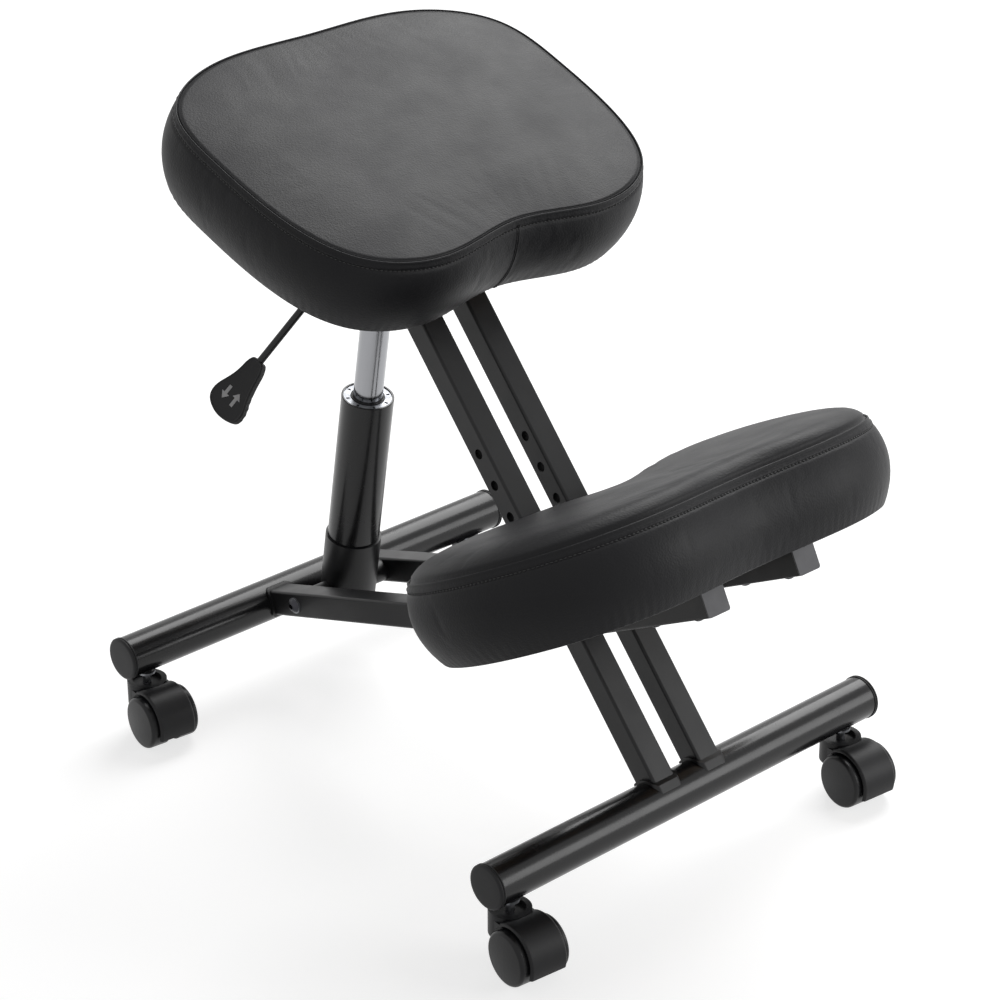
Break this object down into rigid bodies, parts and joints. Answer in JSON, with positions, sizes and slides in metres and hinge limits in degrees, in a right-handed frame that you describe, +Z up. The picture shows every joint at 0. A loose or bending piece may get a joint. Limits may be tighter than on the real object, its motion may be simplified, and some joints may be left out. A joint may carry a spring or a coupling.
{
  "type": "kneeling chair",
  "caption": "Kneeling chair: crossed steel links on castors carry a tilted padded seat on a gas lift and a padded knee rest; a side lever frees the height.",
  "frame": {"origin": "centre of the bounding box on the floor, under the chair", "axes": "+X across the chair towards the sitter's left, -Y the way the sitter faces, +Z up"},
  "size_m": [0.4719, 0.6272, 0.6535],
  "materials": {
    "acetal": "smooth",
    "black_plastic": "matte",
    "black_steel": "blackened",
    "bright_chrome": "polished",
    "gloss_black_paint": "gloss",
    "grey_plastic": "matte",
    "ground_steel": "ground",
    "leatherette": "grained",
    "plywood": "raw",
    "satin_black_paint": "satin",
    "tread": "satin",
    "zinc_steel": "zinc plated"
  },
  "bodies": {
    "rear_frame": {"frame_bolts": "black_steel", "frame_washers": "zinc_steel", "knee_board": "plywood", "knee_cushion": "leatherette", "knee_screws": "black_steel", "knee_tee_nuts": "zinc_steel", "lock_nuts": "zinc_steel", "rail_end_plugs": "grey_plastic", "rail_left": "satin_black_paint", "rail_right": "satin_black_paint", "rear_caster_stems": "zinc_steel", "rear_crossbar": "gloss_black_paint", "rear_crossbar_caps": "black_plastic", "rear_weld_beads": "satin_black_paint"},
    "seat_frame": {"bracket_cheeks": "satin_black_paint", "diagonal_left": "satin_black_paint", "diagonal_right": "satin_black_paint", "front_caster_stems": "zinc_steel", "front_crossbar": "gloss_black_paint", "front_crossbar_caps": "black_plastic", "front_weld_beads": "satin_black_paint", "lever_bracket": "satin_black_paint", "lever_pin": "ground_steel", "pivot_bushes": "acetal", "pivot_spacer": "zinc_steel", "seat_board": "plywood", "seat_bracket_plate": "satin_black_paint", "seat_cushion": "leatherette", "seat_screws": "black_steel", "seat_tee_nuts": "zinc_steel"},
    "gas_column": {"column_sleeve": "satin_black_paint", "column_tube": "gloss_black_paint", "guide_bush": "acetal", "retaining_ring": "zinc_steel", "piston_rod": "ground_steel"},
    "gas_piston": {"pressure_cylinder": "bright_chrome", "cylinder_gland": "acetal", "gas_head": "black_steel", "trunnion_bolts": "zinc_steel"},
    "gas_valve": {"valve_button": "zinc_steel"},
    "release_lever": {"lever_toe": "satin_black_paint", "lever_rod": "gloss_black_paint", "lever_paddle": "black_plastic"},
    "caster_front_left": {"caster_hood_front_left": "black_plastic", "caster_axle_front_left": "ground_steel"},
    "wheel_front_left_outer": {"wheel_front_left_outer": "tread"},
    "wheel_front_left_inner": {"wheel_front_left_inner": "tread"},
    "caster_front_right": {"caster_hood_front_right": "black_plastic", "caster_axle_front_right": "ground_steel"},
    "wheel_front_right_outer": {"wheel_front_right_outer": "tread"},
    "wheel_front_right_inner": {"wheel_front_right_inner": "tread"},
    "caster_rear_left": {"caster_hood_rear_left": "black_plastic", "caster_axle_rear_left": "ground_steel"},
    "wheel_rear_left_outer": {"wheel_rear_left_outer": "tread"},
    "wheel_rear_left_inner": {"wheel_rear_left_inner": "tread"},
    "caster_rear_right": {"caster_hood_rear_right": "black_plastic", "caster_axle_rear_right": "ground_steel"},
    "wheel_rear_right_outer": {"wheel_rear_right_outer": "tread"},
    "wheel_rear_right_inner": {"wheel_rear_right_inner": "tread"}
  },
  "joints": [
    {"name": "seat_fold", "type": "hinge", "parent": "rear_frame", "child": "seat_frame", "pos_m": [0.00077, -0.1083, 0.22176], "axis": [1, 0, 0], "range_deg": [-17, 1.3]},
    {"name": "column_tilt", "type": "hinge", "parent": "rear_frame", "child": "gas_column", "pos_m": [0.00077, 0.23887, 0.10357], "axis": [1, 0, 0], "range_deg": [-9.6, 1.01]},
    {"name": "piston_slide", "type": "slide", "parent": "gas_column", "child": "gas_piston", "axis": [0, -0.1702, 0.9854], "range_m": [-0.0994, 0.0085]},
    {"name": "lever_lift", "type": "hinge", "parent": "seat_frame", "child": "release_lever", "pos_m": [-0.03223, 0.15796, 0.50814], "axis": [0, 0.9455, 0.3256], "range_deg": [0, 7], "stiffness_Nm_per_rad": 0.9, "springref_deg": -20.05},
    {"name": "valve_press", "type": "slide", "parent": "gas_piston", "child": "gas_valve", "axis": [0, -0.1702, 0.9854], "range_m": [-0.00452, 0]},
    {"name": "swivel_front_left", "type": "hinge", "parent": "seat_frame", "child": "caster_front_left", "pos_m": [0.20727, -0.22357, 0.0542], "axis": [0, 0, 1], "continuous": true},
    {"name": "spin_front_left_outer", "type": "hinge", "parent": "caster_front_left", "child": "wheel_front_left_outer", "pos_m": [0.20465, -0.24984, 0.025], "axis": [0.9951, -0.0993, 0], "continuous": true},
    {"name": "spin_front_left_inner", "type": "hinge", "parent": "caster_front_left", "child": "wheel_front_left_inner", "pos_m": [0.20465, -0.24984, 0.025], "axis": [0.9951, -0.0993, 0], "continuous": true},
    {"name": "swivel_front_right", "type": "hinge", "parent": "seat_frame", "child": "caster_front_right", "pos_m": [-0.20573, -0.22357, 0.0542], "axis": [0, 0, 1], "continuous": true},
    {"name": "spin_front_right_outer", "type": "hinge", "parent": "caster_front_right", "child": "wheel_front_right_outer", "pos_m": [-0.20835, -0.24984, 0.025], "axis": [0.9951, -0.0993, 0], "continuous": true},
    {"name": "spin_front_right_inner", "type": "hinge", "parent": "caster_front_right", "child": "wheel_front_right_inner", "pos_m": [-0.20835, -0.24984, 0.025], "axis": [0.9951, -0.0993, 0], "continuous": true},
    {"name": "swivel_rear_left", "type": "hinge", "parent": "rear_frame", "child": "caster_rear_left", "pos_m": [0.20727, 0.29283, 0.0542], "axis": [0, 0, 1], "continuous": true},
    {"name": "spin_rear_left_outer", "type": "hinge", "parent": "caster_rear_left", "child": "wheel_rear_left_outer", "pos_m": [0.20465, 0.26656, 0.025], "axis": [0.9951, -0.0993, 0], "continuous": true},
    {"name": "spin_rear_left_inner", "type": "hinge", "parent": "caster_rear_left", "child": "wheel_rear_left_inner", "pos_m": [0.20465, 0.26656, 0.025], "axis": [0.9951, -0.0993, 0], "continuous": true},
    {"name": "swivel_rear_right", "type": "hinge", "parent": "rear_frame", "child": "caster_rear_right", "pos_m": [-0.20573, 0.29283, 0.0542], "axis": [0, 0, 1], "continuous": true},
    {"name": "spin_rear_right_outer", "type": "hinge", "parent": "caster_rear_right", "child": "wheel_rear_right_outer", "pos_m": [-0.20835, 0.26656, 0.025], "axis": [0.9951, -0.0993, 0], "continuous": true},
    {"name": "spin_rear_right_inner", "type": "hinge", "parent": "caster_rear_right", "child": "wheel_rear_right_inner", "pos_m": [-0.20835, 0.26656, 0.025], "axis": [0.9951, -0.0993, 0], "continuous": true}
  ],
  "couplings": [
    {"joint": "column_tilt", "follows": "seat_fold", "ratio": 0.54733},
    {"joint": "piston_slide", "follows": "seat_fold", "m_per_rad": 0.33181},
    {"joint": "valve_press", "follows": "lever_lift", "m_per_rad": -0.032918}
  ]
}
